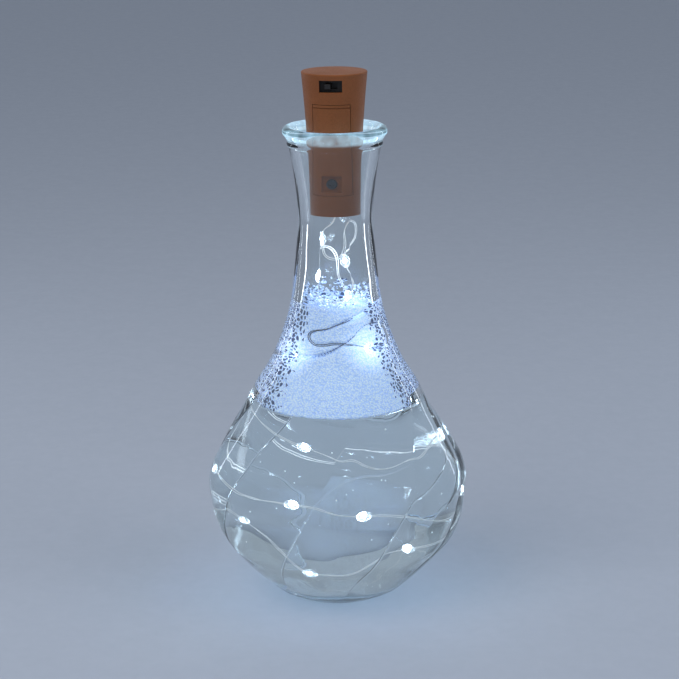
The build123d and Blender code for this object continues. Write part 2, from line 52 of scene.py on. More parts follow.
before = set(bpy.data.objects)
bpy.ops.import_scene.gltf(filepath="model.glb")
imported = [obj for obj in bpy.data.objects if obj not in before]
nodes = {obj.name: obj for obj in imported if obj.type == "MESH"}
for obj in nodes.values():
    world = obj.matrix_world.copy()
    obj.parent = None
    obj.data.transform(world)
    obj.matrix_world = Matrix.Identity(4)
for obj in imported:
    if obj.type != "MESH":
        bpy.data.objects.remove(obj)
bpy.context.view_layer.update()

# The bottle's sizes, in metres, as the CAD source has them
foot_radius = 0.0182
belly_radius = 0.04475
belly_height = 0.041
waist_radius = 0.0127
waist_height = 0.1302
collar_radius = 0.0157
neck_length = 0.027
collar_height = waist_height + neck_length
belly_wall = 0.0028
neck_wall = 0.0038
collar_wall = 0.003
floor_thickness = 0.006
floor_radius = 0.017
crease_depth = 0.0013
crease_azimuth = -24.0
swirl_angle = 64.0
lobe_count = 8

# Each row is a section of the bottle: height, radius, crease depth, swirl and wall shares
lower_shares = (
    (0.076, 0.199, 0.02, 0.0, 2.4), (0.202, 0.408, 0.35, 0.07, 2.1), (0.356, 0.636, 0.6, 0.15, 1.7),
    (0.507, 0.829, 0.75, 0.235, 1.2), (0.685, 0.938, 0.9, 0.32, 1.05),
    (0.863, 0.98, 1.0, 0.405, 1.0), (1.0, 1.0, 1.0, 0.475, 1.0),
)
# Each row is a section above the belly: height, radius, crease depth and swirl shares
upper_shares = (
    (0.056, 0.03, 1.0, 0.53), (0.101, 0.087, 1.0, 0.58), (0.194, 0.235, 0.95, 0.67),
    (0.288, 0.4, 0.85, 0.83), (0.381, 0.538, 0.7, 0.97), (0.474, 0.697, 0.55, 1.0),
    (0.592, 0.832, 0.4, 1.0), (0.709, 0.92, 0.3, 1.0), (0.849, 0.966, 0.22, 1.0),
    (1.0, 1.0, 0.18, 1.0),
)
# Height and crease depth shares from the waist up to the collar
neck_shares = ((0.3, 0.15), (0.55, 0.1), (0.8, 0.04), (1.0, 0.02))
# The rolled lip from the outside round to the inside, as radius and rise above the collar
lip_line = (
    (0.01545, -0.0011), (0.01588, -0.00065), (0.01605, 0.0), (0.0159, 0.0006), (0.01598, 0.0011),
    (0.0167, 0.0023), (0.01738, 0.0033), (0.0175, 0.004), (0.01727, 0.00485), (0.01665, 0.00545),
    (0.01585, 0.00565), (0.01505, 0.00545), (0.01443, 0.00485), (0.01415, 0.004), (0.0138, 0.0031),
    (0.0133, 0.0018), (0.0129, 0.0007),
)
# The underside from its middle out to the foot ring, as radius and height
punt_line = (
    (0.0035, 0.002), (0.0075, 0.00195), (0.0106, 0.0017), (0.0125, 0.0007), (0.0133, 0.0001),
    (0.0145, 0.0), (0.0165, 0.0), (0.0179, 0.00012), (0.0187, 0.0007), (0.0205, 0.0018),
)

# Distances between two rings of the glass: outside, inside, underside and folds, lip
outer_step = 0.0011
inner_step = 0.0008
fold_step = 0.0009
lip_step = 0.0004
# The mesh's columns across half a lobe, closer together beside the crease
column_shares = (0.0, 0.012, 0.026, 0.042, 0.065, 0.1, 0.15, 0.22, 0.3, 0.4, 0.5)
# Folds in the glass: each follows its crease up to a height, then leaves it to the right.
# A link's points are the azimuth from where its crease meets the neck, and the height
high_link = (
    (-25, 0.049), (-21, 0.051), (-16, 0.0526), (-8, 0.0536), (1, 0.0534), (12, 0.0541),
    (19, 0.0546),
)
low_link = (
    (-30, 0.0434), (-26, 0.0445), (-18, 0.047), (-14, 0.0483), (-7, 0.0503), (-2, 0.0524),
    (4, 0.055),
)
folds = (
    (0.076, ()), (0.0465, high_link), (0.041, low_link), (0.07, ()), (0.0465, high_link),
    (0.074, ()), (0.041, low_link), (0.078, ()),
)
fold_foot = 0.009
fold_half_width = 0.00042
fold_half_height = 0.00028
# Rises above the collar between which a painted glow shows in the lip
lip_light_low = 0.0004
lip_light_high = 0.0022

# The wire's route. In the neck each point is x, y and height from the cork's foot
cork_seat = 0.134
neck_route = (
    (0.0, 0.0, 0.0002), (0.0, 0.0, -0.0036), (-0.0044, -0.0016, -0.0063),
    (-0.004, -0.0035, -0.0112), (-0.003, -0.005, -0.0148), (0.0013, -0.0063, -0.0151),
    (0.0029, -0.0058, -0.0104), (0.0024, -0.005, -0.0056), (0.0038, -0.0035, -0.0022),
    (0.007, -0.0012, -0.0031), (0.0072, -0.0008, -0.0078), (0.0052, -0.0004, -0.0116),
    (0.002, -0.0009, -0.0138), (0.0032, -0.0027, -0.0194), (0.0063, -0.0037, -0.0226),
    (0.0052, -0.0056, -0.0272), (0.0008, -0.0071, -0.0302), (-0.0042, -0.006, -0.0294),
    (-0.0069, -0.0024, -0.0252), (-0.0049, -0.0003, -0.018), (-0.0056, 0.0008, -0.0146),
    (-0.0042, 0.0022, -0.0122), (-0.0014, 0.0029, -0.0128), (0.0002, 0.0025, -0.0156),
    (0.0004, 0.0016, -0.0188), (0.0004, 0.0003, -0.022), (0.0022, -0.0006, -0.0262),
    (0.0056, -0.0032, -0.0318),
)
# In the foam and the bulb each point is azimuth from the front, radius and height
bulb_route = (
    (40, 0.0086, 0.0999), (15, 0.012, 0.0985), (-5, 0.0129, 0.0972), (-13, 0.0133, 0.0964),
    (-27, 0.0137, 0.0959), (-35.5, 0.014, 0.0952), (-39, 0.0142, 0.0935), (-35.5, 0.0144, 0.0918),
    (-27, 0.0146, 0.091), (-14, 0.0147, 0.0912), (-2, 0.0146, 0.092), (14, 0.0144, 0.0914),
    (31, 0.0141, 0.0902), (57, 0.014, 0.0878), (83, 0.013, 0.0902), (78, 0.013, 0.0954),
    (48, 0.0125, 0.0976), (20, 0.0139, 0.0932), (-10, 0.0157, 0.0882), (-42, 0.0153, 0.0866),
    (-76, 0.0146, 0.0858), (-104, 0.0164, 0.0822), (-130, 0.0196, 0.0766), (-145, 0.0232, 0.0714),
    (-138, 0.0256, 0.0676), (-118, 0.027, 0.0668), (-94, 0.0279, 0.0662), (-66, 0.0292, 0.0654),
    (-34, 0.0314, 0.0616), (-7, 0.0326, 0.0588), (2, 0.0325, 0.0561), (9, 0.032, 0.0568),
    (18, 0.0315, 0.0528), (29, 0.0312, 0.0512), (41, 0.0311, 0.0525), (49, 0.0313, 0.0526),
    (56, 0.0318, 0.0512), (68, 0.033, 0.0566), (90, 0.0346, 0.0572), (116, 0.0359, 0.054),
    (141, 0.0373, 0.0518), (163, 0.0379, 0.0502), (188, 0.0392, 0.0484), (211, 0.0396, 0.047),
    (233, 0.04, 0.0462), (251, 0.0404, 0.0454), (268, 0.0404, 0.0449), (290, 0.0406, 0.0442),
    (309, 0.0405, 0.0422), (327, 0.0406, 0.0436), (349, 0.0402, 0.0432), (362, 0.0406, 0.0403),
    (382, 0.0398, 0.0399), (396, 0.0394, 0.0375), (408, 0.039, 0.034), (419, 0.0386, 0.0318),
    (429, 0.0388, 0.0308), (437, 0.04, 0.0336), (456, 0.04, 0.0382), (479, 0.0402, 0.036),
    (506, 0.0398, 0.0326), (528, 0.0394, 0.03), (553, 0.0396, 0.0296), (577, 0.039, 0.0298),
    (599, 0.039, 0.0284), (624, 0.0396, 0.0296), (642, 0.04, 0.032), (660, 0.0403, 0.0366),
    (682, 0.0403, 0.0328), (691, 0.0385, 0.0268), (699, 0.0338, 0.0198), (710, 0.033, 0.0186),
    (727, 0.0338, 0.0188), (738, 0.0352, 0.0228), (747, 0.037, 0.0262), (769, 0.037, 0.025),
    (784, 0.0374, 0.0242), (797, 0.0379, 0.0252), (806, 0.0386, 0.0285),
)

# The froth's lowest and highest places, and the air between it and the glass
froth_foot = 0.0695
froth_head = 0.1035
froth_gap = 0.00008
# Bands of coarse bubbles in the froth, each bubble darkened at its middle with painted shade:
# azimuth, half width and bubble size
froth_bands = (
    (-57, 15, 0.0015), (59, 11, 0.0013), (-90, 38, 0.001), (90, 36, 0.001), (180, 30, 0.0013),
)

# Heights between two rings of the froth, how far its skin rolls in and out, and how far
# its outer edge stays below the CAD foam's
froth_step = 0.00045
froth_roll = 0.00006
froth_drop = 0.0006
# The froth's foot is toothed, coarsely and finely, and its dished top has soft clumps
coarse_tooth = 0.0003
fine_tooth = 0.00025
clump_height = 0.0009
dish_shares = (0.97, 0.91, 0.83, 0.74, 0.63, 0.5, 0.36, 0.22, 0.1)
# The lights in the froth, whose glow is painted onto it, each with how far its painted glow reaches
froth_lights = {"light_bead_04": 0.015, "light_bead_05": 0.013, "light_bead_06": 0.012}
# Smallest and largest radius of the froth's loose bubbles and of the air bubbles in the water
bubble_sizes = (0.0003, 0.0009)
seed_sizes = (0.00012, 0.0003)
seed_foot = 0.026
# The froth parts over the wire and round the lights: reach and depth past them
groove_reach = 0.0006
groove_depth = 0.00005
hollow_reach = 0.0026
hollow_depth = 0.0002
# Where the froth wets the glass: from an azimuth and a height on, each with its fade
wet_azimuth = 56
wet_azimuth_fade = 8
wet_height = 0.0712
wet_height_fade = 0.0012
# How far the water reaches into the glass, so that no air shows between them
water_overlap = 0.0001

# The wire's thickness, the number of lights on it and how many of them sit in the neck on the
# cork's body, their glowing cores' radius, and the points round a ring
wire_diameter = 0.0008
light_count = 20
neck_lights = 4
core_radius = 0.00055
around = 180


def colour_setting(name, description, default):
    """A colour that the panel shows."""
    return FloatVectorProperty(
        name=name, description=description, subtype="COLOR", size=3, min=0, max=1,
        default=default,
    )


def length_setting(name, description, default, **limits):
    """A length in metres that the panel shows."""
    return FloatProperty(
        name=name, description=description, unit="LENGTH", default=default, **limits
    )


class GlassSettings(bpy.types.PropertyGroup):
    """Sizes and colours of the glass."""

    tint: colour_setting("Glass tint", "Colour of the clear glass", (0.93, 0.975, 0.985))
    wave: length_setting(
        "Surface wave", "How far the blown surface rolls in and out", 0.00012, min=0, max=0.001
    )
    # Strength of the painted glow in the lip and the folds
    edge_light: FloatProperty(
        name="Edge light", description="How brightly the lights show in the lip and the folds",
        min=0, default=0.5,
    )


class FillSettings(bpy.types.PropertyGroup):
    """The water, the foam on it and the foam's bubbles."""

    water_level: length_setting("Water level", "Height of the water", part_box("water")[1].z)
    foam_level: length_setting("Foam level", "Height of the foam at its middle", 0.1)
    foam_rise: length_setting(
        "Foam rise", "How far the foam climbs the wall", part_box("foam")[1].z - 0.1
    )
    water_tint: colour_setting("Water tint", "Colour of the water", (0.94, 0.98, 1.0))
    foam_colour: colour_setting("Foam colour", "Colour of the froth", (0.93, 0.96, 1.0))
    bubble_count: IntProperty(
        name="Bubbles", description="Number of bubbles at the top of the foam",
        min=0, default=420,
    )
    seed_count: IntProperty(
        name="Air bubbles", description="Number of small air bubbles in the water",
        min=0, default=70,
    )


class WireSettings(bpy.types.PropertyGroup):
    """The two strands of the wire and the lights on it."""

    strand: length_setting("Strand", "Diameter of one lacquered strand", 0.00025)
    twist: length_setting(
        "Twist", "Length of one turn of the strands round each other", 0.055
    )
    copper: colour_setting("Copper", "Colour of the lacquered wire", (0.9, 0.88, 0.84))
    glow: colour_setting("Light", "Colour of the lit lights", (0.72, 0.85, 1.0))
    glow_strength: FloatProperty(
        name="Light strength", description="Strength of the lit chips", min=0, default=12.0,
    )


class CorkSettings(bpy.types.PropertyGroup):
    """The plastics and metals of the cork light."""

    plastic: colour_setting("Cork plastic", "Colour of the cork's shell", (0.25, 0.078, 0.018))
    dark: colour_setting(
        "Dark plastic", "Colour of the switch and the holder", (0.018, 0.017, 0.017)
    )
    steel: colour_setting("Steel", "Colour of the cells", (0.62, 0.62, 0.6))
    screw: colour_setting("Screw", "Colour of the door's screw", (0.09, 0.095, 0.1))
    brass: colour_setting("Brass", "Colour of the contacts", (0.75, 0.56, 0.28))
    board: colour_setting("Board", "Colour of the circuit board", (0.02, 0.14, 0.05))


class StageSettings(bpy.types.PropertyGroup):
    """The floor and the camera."""

    floor_colour: colour_setting("Floor", "Colour of the floor", (0.4, 0.44, 0.52))
    camera_place: FloatVectorProperty(
        name="Camera place", description="Where the camera stands", subtype="TRANSLATION",
        size=3, default=(0.001, -0.6504, 0.2697),
    )
    camera_pitch: FloatProperty(
        name="Camera pitch", description="How far the camera looks down",
        subtype="ANGLE", default=math.radians(15.5),
    )
    camera_roll: FloatProperty(
        name="Camera roll", description="How far the camera leans",
        subtype="ANGLE", default=math.radians(-0.5),
    )
    camera_lens: FloatProperty(
        name="Lens", description="Focal length on a 36 mm sensor, in millimetres",
        default=105.0,
    )


# Forms


def front_point(azimuth, radius, height):
    """A point at an azimuth counted from the front, -Y, towards +X."""
    angle = math.radians(azimuth)
    return Vector((radius * math.sin(angle), -radius * math.cos(angle), height))


def lower_section(height_share, radius_share):
    """Height and radius of the bottle's outside between foot and belly."""
    return (
        belly_height * height_share,
        foot_radius + (belly_radius - foot_radius) * radius_share,
    )


def upper_section(height_share, radius_share):
    """Height and radius of the bottle's outside between belly and waist."""
    return (
        belly_height + (waist_height - belly_height) * height_share,
        belly_radius - (belly_radius - waist_radius) * radius_share,
    )


def neck_section(height_share):
    """Height, outside radius and wall of the flared neck above the waist."""
    flare = height_share**2
    return (
        waist_height + (collar_height - waist_height) * height_share,
        waist_radius + (collar_radius - waist_radius) * flare,
        neck_wall + (collar_wall - neck_wall) * flare,
    )


def outer_rows():
    """Sections of the outside: radius, height, crease depth and crease azimuth."""
    rows = []
    for height_share, radius_share, depth, swirl, _ in lower_shares:
        rows.append((*lower_section(height_share, radius_share), depth, swirl))
    for height_share, radius_share, depth, swirl in upper_shares:
        rows.append((*upper_section(height_share, radius_share), depth, swirl))
    for height_share, depth in neck_shares[:-1]:
        height, radius, _ = neck_section(height_share)
        rows.append((height, radius, depth, 1.0))
    return [
        (radius, height, depth * crease_depth, crease_azimuth - swirl_angle * (1 - swirl))
        for height, radius, depth, swirl in rows
    ]


def inner_rows():
    """Points of the inside wall from the floor's middle up to the collar."""
    points = [(0.0, floor_thickness), (floor_radius / 2, floor_thickness)]
    points.append((floor_radius, floor_thickness))
    for height_share, radius_share, _, _, wall in lower_shares[2:]:
        height, radius = lower_section(height_share, radius_share)
        points.append((radius - belly_wall * wall, height))
    for height_share, radius_share, _, _ in upper_shares:
        height, radius = upper_section(height_share, radius_share)
        points.append((radius - belly_wall - (neck_wall - belly_wall) * radius_share, height))
    for height_share, _ in neck_shares:
        height, radius, wall = neck_section(height_share)
        points.append((radius - wall, height))
    return points


def smooth_rows(rows, step):
    """Rows of numbers run through smoothly, about a step apart along their first two."""
    ends = [rows[0], *rows, rows[-1]]
    smooth = []
    for index in range(1, len(ends) - 2):
        before, start, end, after = ends[index - 1 : index + 3]
        span = math.hypot(end[0] - start[0], end[1] - start[1])
        count = max(1, round(span / step))
        knots = [0.0]
        for left, right in ((before, start), (start, end), (end, after)):
            gap = math.hypot(right[0] - left[0], right[1] - left[1])
            knots.append(knots[-1] + max(math.sqrt(gap), 1e-4))
        for part in range(count):
            smooth.append(row_between((before, start, end, after), knots, part / count))
    smooth.append(tuple(rows[-1]))
    return smooth


def row_between(rows, knots, share):
    """A row at a share of the way between the middle two of four, by their knots."""
    place = knots[1] + (knots[2] - knots[1]) * share

    def mix(left, right, start, end):
        weight = (place - start) / (end - start)
        return tuple(a + (b - a) * weight for a, b in zip(left, right))

    first = mix(rows[0], rows[1], knots[0], knots[1])
    second = mix(rows[1], rows[2], knots[1], knots[2])
    third = mix(rows[2], rows[3], knots[2], knots[3])
    return mix(
        mix(first, second, knots[0], knots[2]),
        mix(second, third, knots[1], knots[3]),
        knots[1],
        knots[2],
    )


def lobe_radius(radius, depth, share):
    """Radius at a share of the way across a lobe, which is an arc between two creases."""
    half = math.pi / lobe_count
    if depth < 1e-6:
        return radius
    low = radius - depth
    centre = (low**2 - radius**2) / (2 * (low * math.cos(half) - radius))
    angle = (2 * share - 1) * half
    across = math.sqrt((radius - centre) ** 2 - (centre * math.sin(angle)) ** 2)
    return centre * math.cos(angle) + across


def lobed_ring(radius, height, depth, crease):
    """A ring of the outside, its columns gathered beside the creases."""
    shares = column_shares + tuple(1 - share for share in reversed(column_shares[1:-1]))
    step = 360 / lobe_count
    return [
        front_point(crease + (lobe + share) * step, lobe_radius(radius, depth, share), height)
        for lobe in range(lobe_count)
        for share in shares
    ]


def section_at(height):
    """Radius, crease depth, crease azimuth and slope of the outside at a height."""
    for low, high in zip(outer_line, outer_line[1:]):
        if low[1] <= height <= high[1]:
            share = (height - low[1]) / (high[1] - low[1])
            radius, _, depth, crease = (a + (b - a) * share for a, b in zip(low, high))
            return radius, depth, crease, (high[0] - low[0]) / (high[1] - low[1])
    return (*outer_line[-1][::2], crease_azimuth, 0.0)


def outside_at(azimuth, height):
    """The point on the glass at an azimuth and a height, and how fast it widens there."""
    radius, depth, crease, slope = section_at(height)
    across = ((azimuth - crease) * lobe_count / 360) % 1
    return front_point(azimuth, lobe_radius(radius, depth, across), height), slope


def inner_radius(height):
    """Radius of the inside wall at a height."""
    for (low_radius, low), (high_radius, high) in zip(inner_line, inner_line[1:]):
        if low <= height <= high and high > low:
            return low_radius + (high_radius - low_radius) * (height - low) / (high - low)
    return inner_line[-1][0]


outer_line = smooth_rows(outer_rows(), outer_step)
inner_line = smooth_rows(inner_rows(), inner_step)


def spline_points(points):
    """Points along the smooth spline that has the route as its control points."""
    curve = bpy.data.curves.new("route", "CURVE")
    curve.dimensions = "3D"
    spline = curve.splines.new("NURBS")
    spline.points.add(len(points) - 1)
    for control, point in zip(spline.points, points):
        control.co = (*point, 1)
    spline.order_u = 3
    spline.use_endpoint_u = True
    spline.resolution_u = 8
    holder = bpy.data.objects.new("route", curve)
    mesh = bpy.data.meshes.new_from_object(holder)
    line = [vertex.co.copy() for vertex in mesh.vertices]
    bpy.data.objects.remove(holder)
    bpy.data.meshes.remove(mesh)
    bpy.data.curves.remove(curve)
    return line


wire_path = spline_points(
    [Vector((x, y, cork_seat + height)) for x, y, height in neck_route]
    + [front_point(*point) for point in bulb_route]
)


def strand_lines(settings):
    """Centres and sides of the wire's two strands, which turn slowly round each other."""
    frames = []
    normal = wire_path[1].cross(wire_path[0]).normalized()
    run = 0.0
    for index, point in enumerate(wire_path):
        last = min(index + 1, len(wire_path) - 1)
        along = (wire_path[last] - wire_path[max(index - 1, 0)]).normalized()
        normal = (normal - along * normal.dot(along)).normalized()
        run += (point - wire_path[max(index - 1, 0)]).length
        frames.append((point, normal.copy(), along.cross(normal), run))
    lines = []
    for half in (0, math.pi):
        line = []
        for point, normal, side, run in frames:
            spot = Vector((run * 170, half * 3, 0.5))
            turn = half + 2 * math.pi * run / settings.twist + 1.2 * noise.noise(spot)
            loose = 1.4 if froth_foot < point.z < froth_head else 0.7
            apart = (wire_diameter - settings.strand) / 2 * (1 + loose * noise.noise(spot * 0.6))
            sway = side * 0.0003 * noise.noise(Vector((run * 120, 4.0, 1.0)))
            offset = (normal * math.cos(turn) + side * math.sin(turn)) * apart
            line.append((point + offset + sway, normal, side))
        lines.append(line)
    return lines


def new_piece(name, vertices, faces, material, body, smooth=True):
    """A mesh piece that rides on a body."""
    mesh = bpy.data.meshes.new(name)
    mesh.from_pydata(vertices, [], faces)
    mesh.validate()
    mesh.update()
    if smooth:
        mesh.polygons.foreach_set("use_smooth", [True] * len(mesh.polygons))
    piece = bpy.data.objects.new(name, mesh)
    bpy.context.scene.collection.objects.link(piece)
    mesh.materials.append(material)
    if body:
        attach(piece, body)
    return piece


def ring_mesh(rings):
    """Vertices and faces of a closed skin through rings, each end drawn to a point."""
    vertices, faces = [], []
    count = len(rings[0])
    for ring in rings:
        vertices.extend(ring)
    for row in range(len(rings) - 1):
        for step in range(count):
            near, far = row * count + step, row * count + (step + 1) % count
            faces.append((near, far, far + count, near + count))
    for ring, start in ((rings[0], 0), (rings[-1], (len(rings) - 1) * count)):
        centre = sum(ring, Vector()) / count
        vertices.append(centre)
        pole = len(vertices) - 1
        for step in range(count):
            near, far = start + step, start + (step + 1) % count
            faces.append((pole, far, near) if start == 0 else (pole, near, far))
    return vertices, faces


def middle(name):
    """The middle of a CAD node's box."""
    return sum(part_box(name), Vector()) / 2


def add_skin(vertices, faces, more, skin):
    """Adds one closed skin to the vertices and faces of a piece."""
    base = len(vertices)
    vertices += more
    faces += [tuple(base + corner for corner in face) for face in skin]


def round_ring(radius, height, count=around):
    """A ring of points round the bottle's axis."""
    return [front_point(360 * step / count, radius, height) for step in range(count)]


# Materials


def add_node(tree, kind, inputs=None, **settings):
    """A node with its settings, and its inputs filled with values or linked to outputs."""
    node = tree.nodes.new(kind)
    for name, value in settings.items():
        setattr(node, name, value)
    for label, value in (inputs or {}).items():
        if isinstance(value, bpy.types.NodeSocket):
            tree.links.new(value, node.inputs[label])
        else:
            node.inputs[label].default_value = value
    return node


def worked_out(tree, operation, *items):
    """The output of a sum on numbers or linked outputs."""
    node = add_node(tree, "ShaderNodeMath", dict(enumerate(items)), operation=operation)
    return node.outputs[0]


def ranged(tree, value, low, high, **settings):
    """A value brought from between low and high to between 0 and 1."""
    inputs = {"Value": value, "From Min": low, "From Max": high}
    return add_node(tree, "ShaderNodeMapRange", inputs, **settings).outputs["Result"]


def mixed(tree, share, first, second, blend="MIX"):
    """A mix of two colours."""
    inputs = {"Factor": share, "A": first, "B": second}
    node = add_node(tree, "ShaderNodeMix", inputs, data_type="RGBA", blend_type=blend)
    return node.outputs["Result"]


def object_place(tree):
    """The place on the object, whatever its pose."""
    return add_node(tree, "ShaderNodeTexCoord").outputs["Object"]


def start_group(name, inputs, outputs):
    """A node group with named sockets, what it is given and the node that takes its results."""
    group = bpy.data.node_groups.new(name, "ShaderNodeTree")
    for label, value in inputs.items():
        kind = {tuple: "Color", Vector: "Vector"}.get(type(value), "Float")
        socket = group.interface.new_socket(
            label, in_out="INPUT", socket_type=f"NodeSocket{kind}"
        )
        socket.default_value = value
    for label, kind in outputs.items():
        group.interface.new_socket(label, in_out="OUTPUT", socket_type=f"NodeSocket{kind}")
    return group, group.nodes.new("NodeGroupInput").outputs


def end_group(group, results):
    """Links a group's results to its output sockets."""
    add_node(group, "NodeGroupOutput", results)
    return group


def plain_tree(name, **looks):
    """A material with one Principled shader; looks name its sockets with low lines for spaces."""
    material = bpy.data.materials.new(name)
    material.use_nodes = True
    tree = material.node_tree
    tree.nodes.clear()
    values = {label.replace("_", " "): value for label, value in looks.items()}
    shader = add_node(tree, "ShaderNodeBsdfPrincipled", values)
    add_node(tree, "ShaderNodeOutputMaterial", {"Surface": shader.outputs["BSDF"]})
    return material, tree, shader


def grain_group():
    """Fine grain that a moulded or metal surface shows: colour, roughness and bump."""
    group, given = start_group("surface_grain", {
        "First Colour": (0.5, 0.5, 0.5, 1), "Second Colour": (0.4, 0.4, 0.4, 1),
        "Grain Size": 0.0004, "Roughness Low": 0.3, "Roughness High": 0.5,
        "Bump Height": 0.00002,
    }, {"Colour": "Color", "Roughness": "Float", "Normal": "Vector"})
    place = object_place(group)
    scale = worked_out(group, "DIVIDE", 1.0, given["Grain Size"])
    fine = add_node(group, "ShaderNodeTexNoise", {
        "Vector": place, "Scale": scale, "Detail": 3,
    }).outputs["Fac"]
    broad = add_node(group, "ShaderNodeTexNoise", {
        "Vector": place, "Scale": 90, "Detail": 4,
    }).outputs["Fac"]
    half = worked_out(group, "MULTIPLY", broad, 0.5)
    blend = worked_out(group, "MULTIPLY_ADD", fine, 0.5, half)
    spread = ranged(group, blend, 0.38, 0.62)
    rough = add_node(group, "ShaderNodeMapRange", {
        "Value": spread, "To Min": given["Roughness Low"], "To Max": given["Roughness High"],
    })
    bump = add_node(group, "ShaderNodeBump", {
        "Height": fine, "Distance": given["Bump Height"],
    })
    return end_group(group, {
        "Colour": mixed(group, spread, given["First Colour"], given["Second Colour"]),
        "Roughness": rough.outputs["Result"],
        "Normal": bump.outputs["Normal"],
    })


def wave_group():
    """Slow waves of a blown or liquid surface, as a normal."""
    group, given = start_group(
        "slow_wave", {"Wave Size": 0.01, "Wave Height": 0.0001}, {"Normal": "Vector"}
    )
    wave = add_node(group, "ShaderNodeTexNoise", {
        "Vector": object_place(group),
        "Scale": worked_out(group, "DIVIDE", 1.0, given["Wave Size"]),
        "Detail": 1, "Distortion": 0.4,
    })
    bump = add_node(group, "ShaderNodeBump", {
        "Height": wave.outputs["Fac"], "Distance": given["Wave Height"],
    })
    return end_group(group, {"Normal": bump.outputs["Normal"]})


def froth_group():
    """Packed small bubbles: colour and normal of a froth."""
    group, given = start_group("froth_cells", {
        "Bubble Colour": (1, 1, 1, 1), "Gap Colour": (0.7, 0.75, 0.8, 1),
        "Bubble Size": 0.0008, "Bump Height": 0.0003,
    }, {"Colour": "Color", "Normal": "Vector"})
    cells = add_node(group, "ShaderNodeTexVoronoi", {
        "Vector": object_place(group),
        "Scale": worked_out(group, "DIVIDE", 1.0, given["Bubble Size"]),
    }).outputs["Distance"]
    edge = ranged(group, cells, 0.15, 0.75)
    bump = add_node(group, "ShaderNodeBump", {
        "Height": cells, "Distance": given["Bump Height"],
    }, invert=True)
    return end_group(group, {
        "Colour": mixed(group, edge, given["Bubble Colour"], given["Gap Colour"]),
        "Normal": bump.outputs["Normal"],
    })


def band_group():
    """A band of coarse bubbles at an azimuth round the bottle, with painted shade at their middles.
    """
    group, given = start_group("bubble_band", {
        "Colour": (1, 1, 1, 1), "Azimuth": 0.0, "Half Width": 0.2, "Bubble Size": 0.001,
        "Painted Shade Colour": (0.1, 0.1, 0.15, 1),
    }, {"Colour": "Color"})
    place = object_place(group)
    parts = add_node(group, "ShaderNodeSeparateXYZ", {"Vector": place}).outputs
    front = worked_out(group, "MULTIPLY", parts["Y"], -1)
    azimuth = worked_out(group, "ARCTAN2", parts["X"], front)
    away = worked_out(group, "SUBTRACT", azimuth, given["Azimuth"])
    away = worked_out(group, "WRAP", away, math.pi, -math.pi)
    away = worked_out(group, "ABSOLUTE", away)
    far = worked_out(group, "DIVIDE", away, given["Half Width"])
    nearness = worked_out(group, "SUBTRACT", 1, far)
    scale = worked_out(group, "DIVIDE", 1, given["Bubble Size"])
    cells = add_node(group, "ShaderNodeTexVoronoi", {"Vector": place, "Scale": scale})
    walls = add_node(
        group, "ShaderNodeTexVoronoi", {"Vector": place, "Scale": scale},
        feature="DISTANCE_TO_EDGE",
    )
    chance = add_node(group, "ShaderNodeSeparateColor", {"Color": cells.outputs["Color"]})
    likely = worked_out(group, "MULTIPLY", nearness, 1.5)
    picked = worked_out(group, "LESS_THAN", chance.outputs["Red"], likely)
    # Painted shade: the middle of each picked bubble darkens towards the painted shade colour
    dark = ranged(group, walls.outputs["Distance"], 0.1, 0.2)
    painted_shade = worked_out(group, "MULTIPLY", dark, picked)
    return end_group(group, {
        "Colour": mixed(group, painted_shade, given["Colour"], given["Painted Shade Colour"]),
    })


def lit_group():
    """A soft patch of light round a light inside the froth, added to the colour given."""
    group, given = start_group("lit_patch", {
        "Colour": (0, 0, 0, 1), "Centre": Vector((0, 0, 0)), "Reach": 0.01,
        "Light Colour": (1, 1, 1, 1),
    }, {"Colour": "Color"})
    gap = add_node(group, "ShaderNodeVectorMath", {
        0: object_place(group), 1: given["Centre"],
    }, operation="DISTANCE")
    fade = add_node(group, "ShaderNodeMapRange", {
        "Value": gap.outputs["Value"], "From Max": given["Reach"], "To Min": 1.0, "To Max": 0.0,
    }, interpolation_type="SMOOTHERSTEP").outputs["Result"]
    return end_group(group, {
        "Colour": mixed(group, fade, given["Colour"], given["Light Colour"], "ADD"),
    })


def rim_group():
    """A painted glow, as of light from inside, in streaks round an edge between two heights."""
    group, given = start_group("rim_light", {
        "Low": 0.0, "High": 1.0, "Light Colour": (1, 1, 1, 1),
    }, {"Colour": "Color"})
    place = object_place(group)
    height = add_node(group, "ShaderNodeSeparateXYZ", {"Vector": place}).outputs["Z"]
    above = ranged(
        group, height, given["Low"], given["High"], interpolation_type="SMOOTHSTEP"
    )
    patches = add_node(group, "ShaderNodeTexNoise", {
        "Vector": place, "Scale": 240, "Detail": 2,
    })
    streak = add_node(group, "ShaderNodeMapRange", {
        "Value": patches.outputs["Fac"], "From Min": 0.36, "From Max": 0.66, "To Min": 0.25,
    }).outputs["Result"]
    both = worked_out(group, "MULTIPLY", above, streak)
    return end_group(group, {
        "Colour": mixed(group, both, (0, 0, 0, 1), given["Light Colour"]),
    })


group_names = {
    grain_group: "surface_grain",
    wave_group: "slow_wave",
    froth_group: "froth_cells",
    band_group: "bubble_band",
    lit_group: "lit_patch",
    rim_group: "rim_light",
}


def placed_group(tree, maker, values):
    """A node that holds the shared group, with its own values."""
    shared = bpy.data.node_groups.get(group_names[maker]) or maker()
    return add_node(tree, "ShaderNodeGroup", node_tree=shared, inputs=values)


def grained(name, colour, contrast, size, roughness, bump, metallic=0.0, **looks):
    """A moulded, drawn or cast surface with its own grain."""
    material, tree, shader = plain_tree(name, Metallic=metallic, **looks)
    second = [channel * contrast for channel in colour]
    grain = placed_group(tree, grain_group, {
        "First Colour": (*colour, 1), "Second Colour": (*second, 1), "Grain Size": size,
        "Roughness Low": roughness[0], "Roughness High": roughness[1], "Bump Height": bump,
    })
    tree.links.new(grain.outputs["Colour"], shader.inputs["Base Color"])
    tree.links.new(grain.outputs["Roughness"], shader.inputs["Roughness"])
    tree.links.new(grain.outputs["Normal"], shader.inputs["Normal"])
    return material


